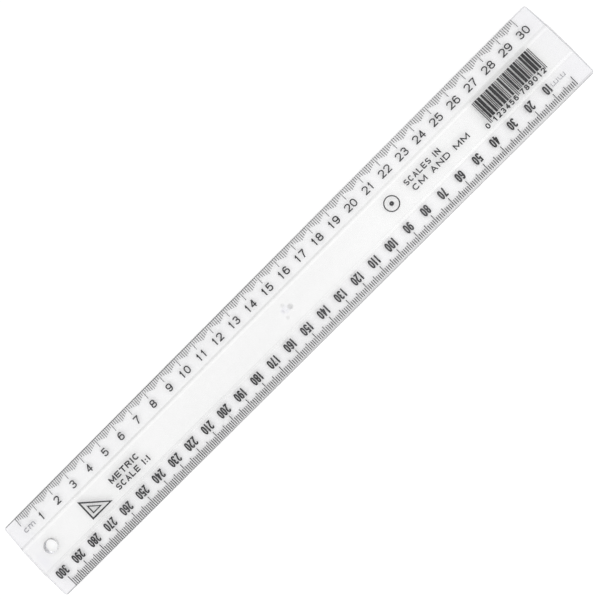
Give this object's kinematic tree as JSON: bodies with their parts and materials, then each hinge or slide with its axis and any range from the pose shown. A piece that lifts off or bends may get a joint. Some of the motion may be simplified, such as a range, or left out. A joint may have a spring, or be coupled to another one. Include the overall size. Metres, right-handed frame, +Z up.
{
  "type": "flat scale ruler",
  "caption": "Flat clear plastic rule with a centimetre scale on one bevelled edge, a millimetre scale on the other, and a hanging hole.",
  "frame": {"origin": "on the underside, at the middle of the length and of the width", "axes": "+X along the rule from the centimetre zero towards the 30 cm end, +Y towards the centimetre edge, +Z up through the thickness, out of the printed face"},
  "size_m": [0.315, 0.04, 0.0025],
  "materials": {
    "clear_plastic": "clear, polished moulding with fine handling scratches",
    "black_ink": "thin stamped ink, semi-matt"
  },
  "bodies": {
    "root": {"ruler_body": "clear_plastic", "cm_scale_ticks": "black_ink", "cm_scale_numerals": "black_ink", "cm_unit_label": "black_ink", "mm_scale_ticks": "black_ink", "mm_scale_numerals": "black_ink", "mm_unit_label": "black_ink", "set_square_emblem": "black_ink", "left_legend": "black_ink", "ring_emblem": "black_ink", "right_legend": "black_ink", "bar_block": "black_ink", "bar_block_digits": "black_ink"}
  },
  "joints": []
}
